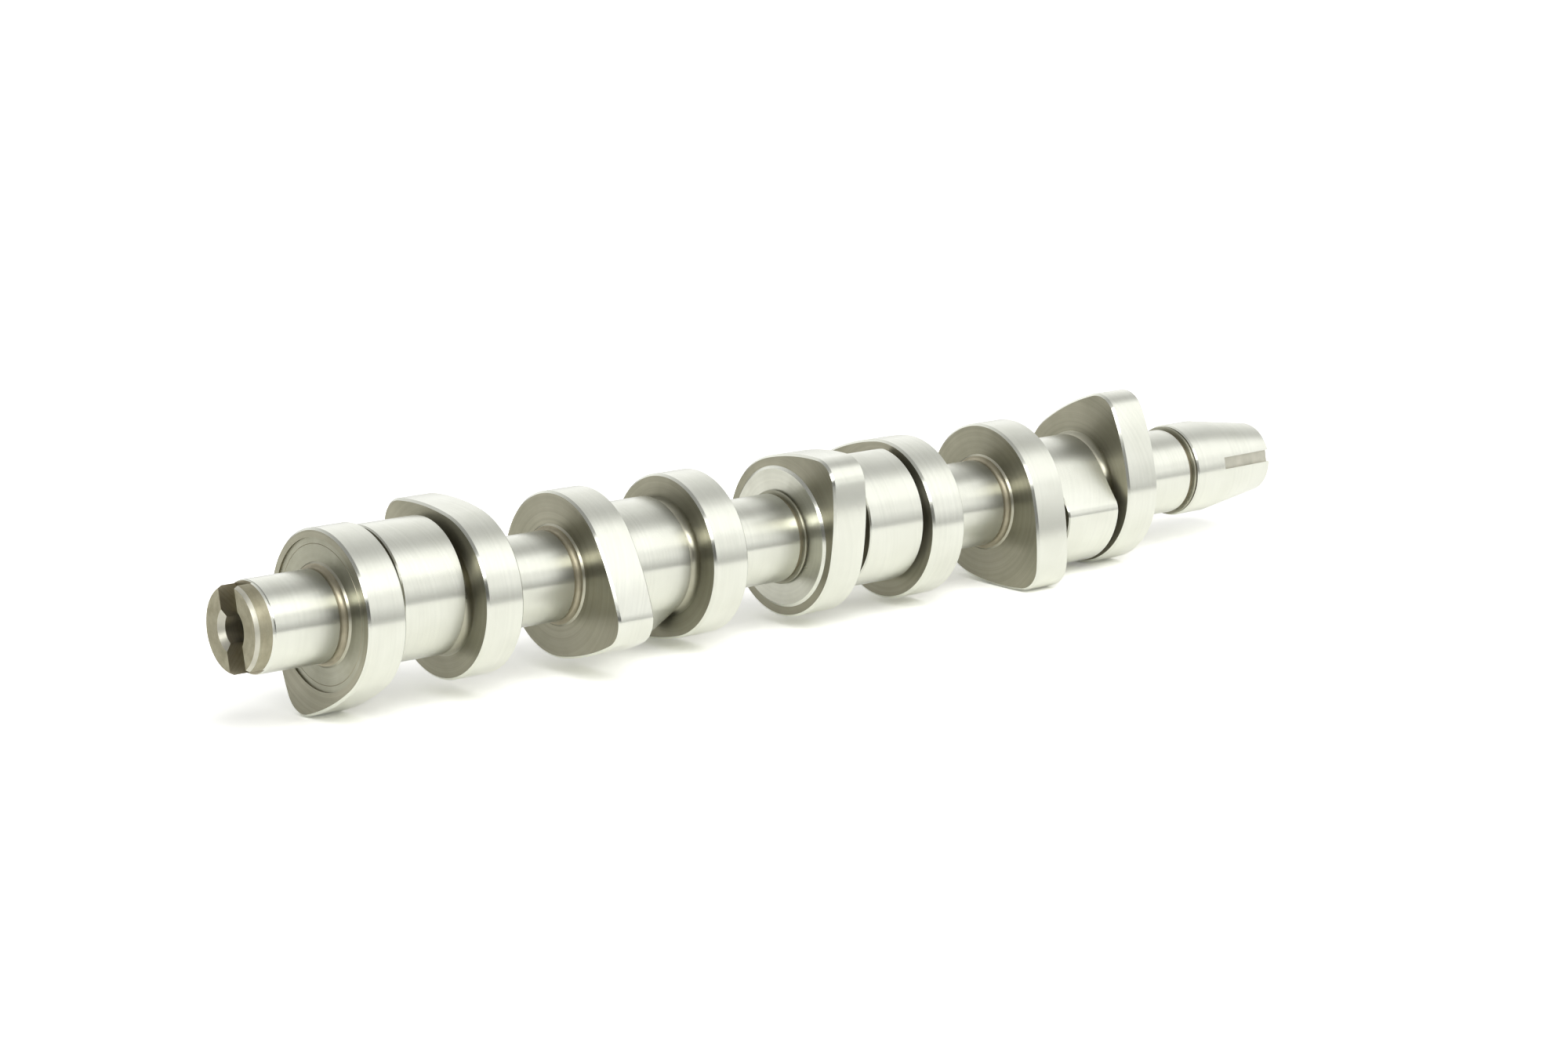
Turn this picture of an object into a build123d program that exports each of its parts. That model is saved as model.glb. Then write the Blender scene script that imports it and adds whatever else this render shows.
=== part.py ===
from build123d import *
from math import acos, atan2, cos, degrees, hypot, radians, sin, sqrt, tan
import os

# Overhead camshaft of a four-cylinder, eight-valve diesel engine with unit injectors, in mm.
# The shaft's axis is X, from the slotted drive end at x = 0 to the tapered pulley end. +Z is up.
# Angles about the axis are in degrees and run from +Y towards +Z.

# Cylinders lie in mirrored pairs about the middle of the shaft, number 1 at the pulley end.
shaft_middle = 191.3
inner_cylinder_offset = 45.15
outer_cylinder_offset = 132.0
firing_order = [1, 3, 4, 2]
firing_step = 90.0

# Valve lobes: a base circle, two convex flanks and a nose. Each cylinder has two, in mirrored order.
valve_lobe_spacing = 42.8
valve_lobe_width = 13.5
valve_base_radius = 26.2
valve_lift = 8.9
valve_nose_radius = 9.0
valve_flank_radius = 80.0
valve_chamfer = 0.7
exhaust_angle = 113.0
intake_angle = 223.0

# Injector lobes: an eccentric circle closes slowly, and a straight flank opens steeply.
injector_width = 22.5
injector_shift = 0.55
injector_base_radius = 18.0
injector_lift = 7.6
injector_nose_radius = 6.0
injector_angle = 224.0
injector_flank_turn = 81.4
injector_chamfer = 0.45

# Journals, each parted from the lobes beside it by an undercut. A rounded shoulder rises from the
# undercut to a rim that stands proud of the face of the lobe.
journal_radius = 14.25
undercut_depth = 0.4
journal_gap = 2.65
shoulder_radius = 1.6
shoulder_height = 0.6

# Necks between a valve lobe and its injector lobe.
neck_radius = 16.0

# What each bank has on its face towards the drive end. The face of the first bank is turned out to
# a recess, and the one after the middle journal takes the thrust on a bevelled boss.
bank_face = {4: "recess", 3: "plain", 2: "boss", 1: "plain"}
recess_radius = 23.4
recess_depth = 0.6
boss_radius = 22.0
boss_height = 0.7
boss_bevel = 0.9

# Narrow collar and groove before the thrust boss, and again before the oil seal's seat. Each collar
# has an undercut between it and the end of the journal.
collar_radius = 15.2
collar_length = 0.9
groove_depth = 0.4
groove_width = 0.45
collar_gap = 1.2

# Drive end: reduced and slotted across, with a countersunk and stepped centre bore.
drive_radius = 13.8
drive_chamfer_height = 0.65
drive_chamfer_length = 1.3
drive_length = 5.7
first_journal_lead = 0.7
slot_width = 8.8
slot_depth = 6.2
slot_shift = 0.8
slot_angle = 77.6
bore_radius = 5.4
bore_depth = 13.0
bore_mouth_radius = 7.25
bore_mouth_depth = 1.6
pilot_radius = 4.25
pilot_depth = 24.0

# Pulley end: the oil seal's seat behind its collar, and the taper with its keyway and bolt hole.
end_journal_length = 24.4
seal_radius = 15.6
seal_chamfer = 0.5
seal_length = 12.0
taper_length = 26.0
taper_end_radius = 11.85
taper_end_chamfer = 0.3
keyway_width = 4.0
keyway_depth = 1.6
keyway_length = 24.9
keyway_angle = 168.8
bolt_hole_radius = 5.2
bolt_hole_depth = 28.0
bolt_hole_chamfer = 1.0
drill_point_angle = 118.0

# Stations along the shaft, worked out from the sizes above.
cylinder_middle = {
    4: shaft_middle - outer_cylinder_offset,
    3: shaft_middle - inner_cylinder_offset,
    2: shaft_middle + inner_cylinder_offset,
    1: shaft_middle + outer_cylinder_offset,
}
half_bank = (valve_lobe_spacing + valve_lobe_width) / 2
bank_start = {number: middle - half_bank for number, middle in cylinder_middle.items()}
bank_end = {number: middle + half_bank for number, middle in cylinder_middle.items()}
face_shift = {"recess": recess_depth, "plain": 0, "boss": -boss_height}
bank_front = {number: start + face_shift[bank_face[number]] for number, start in bank_start.items()}
collar_span = collar_gap + collar_length + groove_width
gap_before = {"recess": journal_gap, "plain": journal_gap, "boss": collar_span}
journal_before = {number: front - gap_before[bank_face[number]] for number, front in bank_front.items()}
undercut_start = drive_length + first_journal_lead
end_journal_end = bank_end[1] + journal_gap + end_journal_length
seal_start = end_journal_end + collar_span
taper_start = seal_start + seal_length
shaft_end = taper_start + taper_length
undercut_radius = journal_radius - undercut_depth
rim_radius = undercut_radius + shoulder_radius
taper_slope = (seal_radius - taper_end_radius) / taper_length


def polar(radius, angle, center=(0, 0)):
    """Point at a radius and an angle in degrees about a centre."""
    across = center[0] + radius * cos(radians(angle))
    up = center[1] + radius * sin(radians(angle))
    return (across, up)


def arc_between(radius, first, last, center=(0, 0)):
    """Arc about a centre, from the first angle to the last by way of the angle midway."""
    middle = (first + last) / 2
    ThreePointArc(
        polar(radius, first, center), polar(radius, middle, center), polar(radius, last, center)
    )


def valve_outline():
    """Closed outline of a valve lobe, with its nose along the first axis."""
    nose_distance = valve_base_radius + valve_lift - valve_nose_radius
    nose_center = (nose_distance, 0)
    to_base = valve_flank_radius - valve_base_radius
    to_nose = valve_flank_radius - valve_nose_radius
    turn = (to_nose**2 - to_base**2 - nose_distance**2) / (2 * nose_distance * to_base)
    base_turn = degrees(acos(turn))
    upper_center = polar(-to_base, base_turn)
    lower_center = polar(-to_base, -base_turn)
    nose_turn = degrees(atan2(-upper_center[1], nose_distance - upper_center[0]))
    arc_between(valve_flank_radius, base_turn, nose_turn, upper_center)
    arc_between(valve_nose_radius, nose_turn, -nose_turn, nose_center)
    arc_between(valve_flank_radius, -nose_turn, -base_turn, lower_center)
    arc_between(valve_base_radius, 360 - base_turn, base_turn)


def injector_outline():
    """Closed outline of an injector lobe, with its greatest radius along the first axis."""
    eccentricity = injector_lift / 2
    closing_center = (eccentricity, 0)
    closing_radius = injector_base_radius + eccentricity
    flank_normal = -injector_flank_turn
    to_flank = injector_base_radius - injector_nose_radius
    to_closing = closing_radius - injector_nose_radius
    along = eccentricity * sin(radians(injector_flank_turn))
    start_x, start_y = polar(to_flank, flank_normal)
    start_gap = hypot(start_x - eccentricity, start_y)
    slide = along + sqrt(along**2 + to_closing**2 - start_gap**2)
    nose_center = polar(slide, flank_normal + 90, (start_x, start_y))
    nose_turn = degrees(atan2(nose_center[1], nose_center[0] - eccentricity))
    Line(
        polar(injector_base_radius, flank_normal),
        polar(injector_nose_radius, flank_normal, nose_center),
    )
    arc_between(injector_nose_radius, flank_normal, nose_turn, nose_center)
    arc_between(closing_radius, nose_turn, 180, closing_center)
    arc_between(injector_base_radius, 180, 360 + flank_normal)


def shoulder_outline(start, face):
    """Closed half section from a journal to a face: two facets of a round up to a rim before the face."""
    side = 1 if face > start else -1
    rim = face - side * shoulder_height
    center = (rim - side * shoulder_radius, rim_radius)
    Polyline(
        (start, 0),
        (start, undercut_radius),
        polar(shoulder_radius, 270, center),
        polar(shoulder_radius, 270 + 45 * side, center),
        (rim, rim_radius),
        (face, rim_radius + shoulder_height),
        (face, 0),
        close=True,
    )


def collar_outline(face):
    """Closed half section of the narrow collar and the groove between it and a face."""
    end = face - groove_width
    Polyline(
        (end - collar_length, 0),
        (end - collar_length, collar_radius),
        (end, collar_radius),
        (end, collar_radius - groove_depth),
        (face, collar_radius - groove_depth),
        (face, 0),
        close=True,
    )


def rectangle_outline(left, right, radius):
    """Closed half section of a plain cylinder."""
    Polyline((left, 0), (left, radius), (right, radius), (right, 0), close=True)


def lobe_place(start, number, angle):
    """Place of a lobe that starts at a station and has its own angle in its cylinder's cycle."""
    turn = angle + firing_step * firing_order.index(number)
    return Location((start, 0, 0), (turn, 0, 0))


with BuildPart() as valve_lobe:
    with BuildSketch(Plane.YZ):
        with BuildLine():
            valve_outline()
        make_face()
    extrude(amount=valve_lobe_width)
    rims = valve_lobe.edges().group_by(Axis.X)
    chamfer(rims[0] + rims[-1], valve_chamfer)

with BuildPart() as injector_lobe:
    with BuildSketch(Plane.YZ):
        with BuildLine():
            injector_outline()
        make_face()
    extrude(amount=injector_width)
    rims = injector_lobe.edges().group_by(Axis.X)
    chamfer(rims[0] + rims[-1], injector_chamfer)

# In the two banks towards the drive end the first lobe is the exhaust one, in the others the intake one.
first_angle = {4: exhaust_angle, 3: exhaust_angle, 2: intake_angle, 1: intake_angle}
second_angle = {4: intake_angle, 3: intake_angle, 2: exhaust_angle, 1: exhaust_angle}
valve_places = []
injector_places = []
for number, middle in cylinder_middle.items():
    second_start = bank_end[number] - valve_lobe_width
    injector_start = middle + injector_shift - injector_width / 2
    valve_places.append(lobe_place(bank_start[number], number, first_angle[number]))
    valve_places.append(lobe_place(second_start, number, second_angle[number]))
    injector_places.append(lobe_place(injector_start, number, injector_angle))

# Each journal lies between two faces. The first starts at the slotted end and the last ends at a step.
journals = [
    (undercut_start, journal_before[4]),
    (bank_end[4] + journal_gap, journal_before[3]),
    (bank_end[3] + journal_gap, journal_before[2]),
    (bank_end[2] + journal_gap, journal_before[1]),
    (bank_end[1] + journal_gap, end_journal_end),
]

with BuildPart() as camshaft:
    # Everything turned about the axis, as one half section.
    with BuildSketch(Plane.XZ):
        with BuildLine():
            rectangle_outline(undercut_start, taper_start, undercut_radius)
        make_face()
        with BuildLine():
            Polyline(
                (0, 0),
                (0, drive_radius - drive_chamfer_height),
                (drive_chamfer_length, drive_radius),
                (drive_length, drive_radius),
                (undercut_start, journal_radius),
                (undercut_start, 0),
                close=True,
            )
        make_face()
        for left, right in journals:
            with BuildLine():
                rectangle_outline(left, right, journal_radius)
            make_face()
        for number, face in bank_face.items():
            with BuildLine():
                rectangle_outline(bank_start[number], bank_end[number], neck_radius)
            make_face()
            with BuildLine():
                shoulder_outline(bank_end[number] + journal_gap, bank_end[number])
            make_face()
            if face == "boss":
                with BuildLine():
                    collar_outline(bank_front[number])
                make_face()
                with BuildLine():
                    Polyline(
                        (bank_start[number], 0),
                        (bank_start[number], boss_radius + boss_bevel),
                        (bank_front[number], boss_radius),
                        (bank_front[number], 0),
                        close=True,
                    )
                make_face()
            else:
                with BuildLine():
                    shoulder_outline(journal_before[number], bank_front[number])
                make_face()
        with BuildLine():
            collar_outline(seal_start)
        make_face()
        with BuildLine():
            Polyline(
                (seal_start, 0),
                (seal_start, seal_radius - seal_chamfer),
                (seal_start + seal_chamfer, seal_radius),
                (taper_start, seal_radius),
                (shaft_end - taper_end_chamfer, taper_end_radius + taper_slope * taper_end_chamfer),
                (shaft_end, taper_end_radius - taper_end_chamfer),
                (shaft_end, 0),
                close=True,
            )
        make_face()
    revolve(axis=Axis.X)

    # Lobes, each turned to its own angle.
    with Locations(*valve_places):
        add(valve_lobe.part)
    with Locations(*injector_places):
        add(injector_lobe.part)

    # Recess in the face of the first bank, around the rim of its shoulder.
    with BuildSketch(Plane.XZ):
        for number, face in bank_face.items():
            if face == "recess":
                rim = bank_front[number] - shoulder_height
                clear = rim - journal_gap
                with BuildLine():
                    Polyline(
                        (clear, rim_radius),
                        (rim, rim_radius),
                        (bank_front[number], rim_radius + shoulder_height),
                        (bank_front[number], recess_radius),
                        (clear, recess_radius),
                        close=True,
                    )
                make_face()
    revolve(axis=Axis.X, mode=Mode.SUBTRACT)

    # Slot across the drive end, to one side of the axis.
    slot_plane = Plane(
        origin=(0, 0, 0),
        x_dir=(0, cos(radians(slot_angle)), sin(radians(slot_angle))),
        z_dir=(1, 0, 0),
    )
    with BuildSketch(slot_plane):
        with Locations((0, slot_shift)):
            Rectangle(3 * journal_radius, slot_width)
    extrude(amount=slot_depth, mode=Mode.SUBTRACT)

    # Countersunk and stepped centre bore of the drive end, and the bolt hole of the pulley end.
    point_slope = 1 / tan(radians(drill_point_angle / 2))
    bolt_hole_bottom = shaft_end - bolt_hole_depth
    with BuildSketch(Plane.XZ):
        with BuildLine():
            Polyline(
                (0, 0),
                (0, bore_mouth_radius),
                (bore_mouth_depth, bore_radius),
                (bore_depth, bore_radius),
                (bore_depth + (bore_radius - pilot_radius) * point_slope, pilot_radius),
                (pilot_depth, pilot_radius),
                (pilot_depth + pilot_radius * point_slope, 0),
                close=True,
            )
        make_face()
        with BuildLine():
            Polyline(
                (shaft_end, 0),
                (shaft_end, bolt_hole_radius + bolt_hole_chamfer),
                (shaft_end - bolt_hole_chamfer, bolt_hole_radius),
                (bolt_hole_bottom, bolt_hole_radius),
                (bolt_hole_bottom - bolt_hole_radius * point_slope, 0),
                close=True,
            )
        make_face()
    revolve(axis=Axis.X, mode=Mode.SUBTRACT)

    # Keyway along the taper, its floor parallel to the taper's side and open at the small end.
    keyway_start = shaft_end - keyway_length
    keyway_height = taper_end_radius + taper_slope * keyway_length
    outward_y, outward_z = polar(1, keyway_angle)
    keyway_plane = Plane(
        origin=(keyway_start, keyway_height * outward_y, keyway_height * outward_z),
        x_dir=(1, -taper_slope * outward_y, -taper_slope * outward_z),
        z_dir=(taper_slope, outward_y, outward_z),
    )
    with BuildSketch(keyway_plane):
        Rectangle(2 * keyway_length, keyway_width, align=(Align.MIN, Align.CENTER))
    extrude(amount=keyway_depth, both=True, mode=Mode.SUBTRACT)

camshaft.part.label = "camshaft"
os.makedirs("parts", exist_ok=True)
export_step(camshaft.part, "parts/camshaft.step")
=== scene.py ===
import bpy
from math import acos, atan2, cos, pi, radians, sin, sqrt, tan
from mathutils import Matrix, Vector


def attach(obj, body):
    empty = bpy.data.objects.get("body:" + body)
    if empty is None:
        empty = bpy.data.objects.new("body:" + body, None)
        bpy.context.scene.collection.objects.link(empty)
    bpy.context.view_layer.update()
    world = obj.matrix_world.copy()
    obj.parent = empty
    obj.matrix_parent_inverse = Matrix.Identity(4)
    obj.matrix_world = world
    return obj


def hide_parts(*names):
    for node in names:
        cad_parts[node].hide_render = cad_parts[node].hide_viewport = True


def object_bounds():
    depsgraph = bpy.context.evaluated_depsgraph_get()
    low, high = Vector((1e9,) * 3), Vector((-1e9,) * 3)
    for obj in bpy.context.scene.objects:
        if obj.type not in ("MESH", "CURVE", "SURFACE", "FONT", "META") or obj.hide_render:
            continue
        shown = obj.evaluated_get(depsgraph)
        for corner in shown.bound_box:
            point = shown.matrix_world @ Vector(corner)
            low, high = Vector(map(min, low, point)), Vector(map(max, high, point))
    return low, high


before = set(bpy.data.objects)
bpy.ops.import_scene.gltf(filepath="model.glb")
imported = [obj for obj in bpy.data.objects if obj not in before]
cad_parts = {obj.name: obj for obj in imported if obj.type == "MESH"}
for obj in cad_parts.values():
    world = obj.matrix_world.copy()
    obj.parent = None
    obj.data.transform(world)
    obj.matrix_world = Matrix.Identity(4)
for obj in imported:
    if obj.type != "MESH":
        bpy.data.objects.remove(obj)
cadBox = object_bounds()
mm = 0.001


def toLinear(hexColour):
    # sRGB hex to the linear colour that a shader socket takes
    channels = [int(hexColour[i:i + 2], 16) / 255 for i in (1, 3, 5)]
    return [c / 12.92 if c <= 0.04045 else ((c + 0.055) / 1.055) ** 2.4 for c in channels] + [1]


def addNode(tree, kind, settings=None, inputs=()):
    # one node with its settings, and its inputs in order, by name, or by number where names repeat:
    # each is a value, or a node or socket to link
    node = tree.nodes.new(kind)
    for name, value in (settings or {}).items():
        setattr(node, name, value)
    for name, value in (inputs if isinstance(inputs, dict) else dict(enumerate(inputs))).items():
        if isinstance(value, bpy.types.Node):
            value = value.outputs[0]
        if isinstance(value, bpy.types.NodeSocket):
            tree.links.new(value, node.inputs[name])
        else:
            node.inputs[name].default_value = value
    return node


def emptyMaterial(name):
    material = bpy.data.materials.new(name)
    material.use_nodes = True
    material.node_tree.nodes.clear()
    return material, material.node_tree


# settings of the arithmetic nodes
mathNode, vectorNode = "ShaderNodeMath", "ShaderNodeVectorMath"
plus, minus, times, over, highest = (
    {"operation": name} for name in ("ADD", "SUBTRACT", "MULTIPLY", "DIVIDE", "MAXIMUM"))
cosine, sine, root, wholePart, remainder, wrap, positive = (
    {"operation": name} for name in ("COSINE", "SINE", "SQRT", "FLOOR", "MODULO", "WRAP", "ABSOLUTE"))

print("camera")
# where it stands, its own right and up, and the lens and sensor in mm; the clip distances are in metres
cameraView = {
    "place": (-703.24 * mm, -1104.54 * mm, 303.26 * mm),
    "right": (0.770703, -0.637194, 0.0),
    "up": (0.130126, 0.157391, 0.978926),
    "lens": 104.758,
    "sensor": 36.0,
    "clipStart": 0.05,
    "clipEnd": 60.0,
}
cameraData = bpy.data.cameras.new("studioCamera")
cameraData.sensor_fit = "HORIZONTAL"
cameraData.sensor_width = cameraView["sensor"]
cameraData.lens = cameraView["lens"]
cameraData.clip_start = cameraView["clipStart"]
cameraData.clip_end = cameraView["clipEnd"]
camera = bpy.data.objects.new("studioCamera", cameraData)
bpy.context.collection.objects.link(camera)
rightWay = Vector(cameraView["right"])
upWay = Vector(cameraView["up"])
turnMatrix = Matrix((rightWay, upWay, rightWay.cross(upWay))).transposed()
camera.matrix_world = Matrix.Translation(cameraView["place"]) @ turnMatrix.to_4x4()
bpy.context.scene.camera = camera

print("materials")
# the part of a noise's values that is stretched to the full range; the narrow one gives more contrast
noiseSpan = {"From Min": 0.3, "From Max": 0.7}
narrowSpan = {"From Min": 0.35, "From Max": 0.65}
# a quarter turn of the tangent lays the blurred shine across the lines
shineTurn = 0.25


def steelMaterial(name, sizes):
    # Bare steel. Lines left by the tool run round the axis: across a side face they are rings
    # told apart by their radius, and along a journal they are told apart by their station.
    # The anisotropic shine spreads across those lines, as it does on ground and turned steel.
    # fineLine and coarseLine are the spacings of the lines in mm. Real grinding and turning lines
    # are a few hundredths to tenths of a mm apart, too fine to show in the render, so they are
    # drawn as coarse as they need to show. The other sizes and lineDepth are in mm too.
    material, tree = emptyMaterial(name)
    place = addNode(tree, "ShaderNodeTexCoord").outputs["Object"]
    split = addNode(tree, "ShaderNodeSeparateXYZ", None, [place]).outputs
    across = addNode(tree, "ShaderNodeCombineXYZ", None, {"Y": split["Y"], "Z": split["Z"]})
    radius = addNode(tree, vectorNode, {"operation": "LENGTH"}, [across]).outputs["Value"]

    # waver moves a line a little off its true circle, so that lines start and fade
    waver = addNode(tree, "ShaderNodeTexNoise", None, {
        "Vector": place, "Scale": 1 / (sizes["waverSize"] * mm), "Detail": 2.0})
    waverShift = addNode(tree, mathNode, times, [waver, sizes["waver"] * mm])
    radial = addNode(tree, mathNode, plus, [radius, waverShift])
    station = addNode(tree, mathNode, plus, [split["X"], waverShift])
    lineRule = addNode(tree, mathNode, plus, [radial, station])
    fineLines = addNode(tree, "ShaderNodeTexNoise", {"noise_dimensions": "1D"}, {
        "W": lineRule, "Scale": 1 / (sizes["fineLine"] * mm), "Detail": 3.0, "Roughness": 0.7})
    coarseLines = addNode(tree, "ShaderNodeTexNoise", {"noise_dimensions": "1D"}, {
        "W": lineRule, "Scale": 1 / (sizes["coarseLine"] * mm), "Detail": 2.0, "Roughness": 0.5})

    # cloud is the slow change of shade over the metal, from handling and oil
    cloud = addNode(tree, "ShaderNodeTexNoise", None, {
        "Vector": place, "Scale": 1 / (sizes["cloudSize"] * mm), "Detail": 4.0, "Roughness": 0.6})
    cloudShare = addNode(tree, "ShaderNodeMapRange", None, {**noiseSpan, "Value": cloud})
    tint = addNode(tree, "ShaderNodeMix", {"data_type": "RGBA"}, {
        0: cloudShare, 6: toLinear(sizes["colour"]), 7: toLinear(sizes["cloudColour"])}).outputs[2]
    dark, bright = 1 - sizes["lineShade"], 1 + sizes["lineShade"]
    coarseShade = addNode(tree, "ShaderNodeMapRange", None, {
        **narrowSpan, "Value": coarseLines, "To Min": dark, "To Max": bright})
    fineShade = addNode(tree, "ShaderNodeMapRange", None, {
        **noiseSpan, "Value": fineLines, "To Min": dark, "To Max": bright})
    lineShade = addNode(tree, mathNode, times, [coarseShade, fineShade])
    colour = addNode(tree, vectorNode, {"operation": "SCALE"}, {0: tint, "Scale": lineShade})
    roughness = addNode(tree, "ShaderNodeMapRange", None, {
        **noiseSpan, "Value": cloud,
        "To Min": sizes["roughness"] - sizes["roughnessChange"],
        "To Max": sizes["roughness"] + sizes["roughnessChange"]})
    height = addNode(tree, mathNode, plus, [fineLines, coarseLines])
    bump = addNode(tree, "ShaderNodeBump", None, {
        "Height": height, "Strength": sizes["bump"], "Distance": sizes["lineDepth"] * mm})
    tangent = addNode(tree, "ShaderNodeTangent", {"direction_type": "RADIAL", "axis": "X"})
    shader = addNode(tree, "ShaderNodeBsdfPrincipled", None, {
        "Base Color": colour, "Metallic": 1.0, "Roughness": roughness, "Anisotropic": sizes["anisotropy"],
        "Anisotropic Rotation": shineTurn, "Normal": bump, "Tangent": tangent})
    addNode(tree, "ShaderNodeOutputMaterial", None, {"Surface": shader})
    return material


# journals, lobes, seal seat and taper, ground with a fine wheel: bright, with hair lines, and
# blurred along the shaft only
groundSteel = steelMaterial("groundSteel", {
    "colour": "#cecfc5", "cloudColour": "#c9cabf", "roughness": 0.24, "roughnessChange": 0.02,
    "anisotropy": 0.95, "fineLine": 0.22, "coarseLine": 1.1, "lineShade": 0.016,
    "lineDepth": 0.003, "bump": 0.05, "waver": 0.02, "waverSize": 9.0, "cloudSize": 14.0})
# recess, beads and the taper's end face, turned on a lathe and left: darker, warm grey, with
# visible rings
turnedSteel = steelMaterial("turnedSteel", {
    "colour": "#9c9b8b", "cloudColour": "#91907f", "roughness": 0.36, "roughnessChange": 0.03,
    "anisotropy": 0.93, "fineLine": 0.35, "coarseLine": 2.2, "lineShade": 0.04,
    "lineDepth": 0.01, "bump": 0.15, "waver": 0.2, "waverSize": 12.0, "cloudSize": 9.0})
# rough turned drive end, matt, with a faint yellow mottling from the heat treatment
roughSteel = steelMaterial("roughSteel", {
    "colour": "#95917c", "cloudColour": "#8c8771", "roughness": 0.5, "roughnessChange": 0.08,
    "anisotropy": 0.3, "fineLine": 0.5, "coarseLine": 1.9, "lineShade": 0.05,
    "lineDepth": 0.03, "bump": 0.3, "waver": 2.0, "waverSize": 4.0, "cloudSize": 3.0})
# keyway, countersinks and the rim of the drive end: pale and satin, as a fresh cut is
milledSteel = steelMaterial("milledSteel", {
    "colour": "#bbb9ab", "cloudColour": "#afada0", "roughness": 0.45, "roughnessChange": 0.06,
    "anisotropy": 0.2, "fineLine": 0.4, "coarseLine": 1.5, "lineShade": 0.015,
    "lineDepth": 0.01, "bump": 0.1, "waver": 0.3, "waverSize": 6.0, "cloudSize": 5.0})
# drilled holes, the slot's walls, undercuts and small fillets: browner, where coolant has stained the steel,
# and darker, which is painted shade for these hollows and creases
boreStainAndShadeSteel = steelMaterial("boreStainAndShadeSteel", {
    "colour": "#9d9783", "cloudColour": "#8b8571", "roughness": 0.4, "roughnessChange": 0.06,
    "anisotropy": 0.5, "fineLine": 0.25, "coarseLine": 0.9, "lineShade": 0.06,
    "lineDepth": 0.02, "bump": 0.25, "waver": 0.2, "waverSize": 6.0, "cloudSize": 6.0})
# rims beside the journals and coves beside the valve lobes: polished where the wheel touched
# them, and a little brown
shoulderSteel = steelMaterial("polishedShoulderSteel", {
    "colour": "#a7a595", "cloudColour": "#9c9a89", "roughness": 0.3, "roughnessChange": 0.03,
    "anisotropy": 0.6, "fineLine": 0.3, "coarseLine": 1.2, "lineShade": 0.03,
    "lineDepth": 0.01, "bump": 0.1, "waver": 0.1, "waverSize": 8.0, "cloudSize": 6.0})
# side faces of the lobes, darker than the turned recess by painted shade, with finer rings
facedShadedSteel = steelMaterial("facedShadedSteel", {
    "colour": "#959281", "cloudColour": "#8c8a78", "roughness": 0.36, "roughnessChange": 0.03,
    "anisotropy": 0.93, "fineLine": 0.3, "coarseLine": 1.7, "lineShade": 0.05,
    "lineDepth": 0.01, "bump": 0.15, "waver": 0.15, "waverSize": 12.0, "cloudSize": 16.0})
# the face that takes the thrust, and the seal seat's step: lapped, a little duller than the journals
thrustSteel = steelMaterial("lappedSteel", {
    "colour": "#c6c6ba", "cloudColour": "#bcbcaf", "roughness": 0.3, "roughnessChange": 0.03,
    "anisotropy": 0.9, "fineLine": 0.25, "coarseLine": 1.5, "lineShade": 0.03,
    "lineDepth": 0.006, "bump": 0.1, "waver": 0.1, "waverSize": 10.0, "cloudSize": 9.0})
finishes = [
    groundSteel, turnedSteel, roughSteel, milledSteel, boreStainAndShadeSteel, shoulderSteel, facedShadedSteel, thrustSteel]
# the finish of holes, grooves and undercuts is browner from stains and darker with painted shade
# the finish of the lobes' side faces is darkened with painted shade
ground, turned, rough, milled, boreStainAndShade, shoulder, facedShaded, thrust = range(len(finishes))

print("section")
# lengths in mm, angles in degrees; stations are measured from the drive end
shaft = {
    "middle": 191.3, "innerOffset": 45.15, "outerOffset": 132.0,
    "firingOrder": [1, 3, 4, 2], "firingStep": 90.0,
    "journalRadius": 14.25, "journalChamfer": 0.25, "undercutDepth": 0.4, "journalGap": 2.65,
    "shoulderRadius": 1.6, "shoulderHeight": 0.6, "neckRadius": 16.0, "neckFillet": 0.5,
    "coveWidth": 2.2, "coveHeight": 2.8, "coveSteps": 5, "filletSteps": 2,
    "bankFace": {4: "recess", 3: "plain", 2: "boss", 1: "plain"},
    "recessRadius": 23.4, "recessDepth": 0.6, "scribeRadius": 21.4, "scribeWidth": 0.1,
    "bossRadius": 22.0, "bossHeight": 0.7, "bossBevel": 0.9,
    "collarRadius": 15.2, "collarLength": 0.9, "collarGap": 1.2, "grooveDepth": 0.4, "grooveWidth": 0.45,
    "driveRadius": 13.8, "driveChamferHeight": 0.65, "driveChamferLength": 1.3, "driveLength": 5.7,
    "firstJournalLead": 0.7, "boreRadius": 5.4, "boreDepth": 13.0, "boreMouthRadius": 7.25,
    "boreMouthDepth": 1.6, "pilotRadius": 4.25, "pilotDepth": 24.0, "endJournalLength": 24.4,
    "sealRadius": 15.6, "sealChamfer": 0.5, "sealLength": 12.0,
    "taperLength": 26.0, "taperEndRadius": 11.85, "taperEndChamfer": 0.3,
    "boltRadius": 5.2, "boltDepth": 28.0, "boltChamfer": 1.0, "boltThreadLength": 8.4,
    "threadPitch": 1.5, "threadDepth": 0.8, "threadRings": 5, "drillPoint": 118.0,
    "segments": 360, "roundSteps": 5, "beadSteps": 6, "sharpAngle": 28.0, "mergeDistance": 0.002,
}
valveLobe = {
    "spacing": 42.8, "width": 13.5, "base": 26.2, "lift": 8.9, "nose": 9.0, "flank": 80.0,
    "exhaustAngle": 113.0, "intakeAngle": 223.0, "chamfer": 0.7,
}
injectorLobe = {
    "width": 22.5, "shift": 0.55, "base": 18.0, "lift": 7.6, "nose": 6.0,
    "angle": 224.0, "flankTurn": 81.4, "chamfer": 0.45,
}
roundRing, valveRing, injectorRing = 0, 1, 2
rings = []


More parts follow.
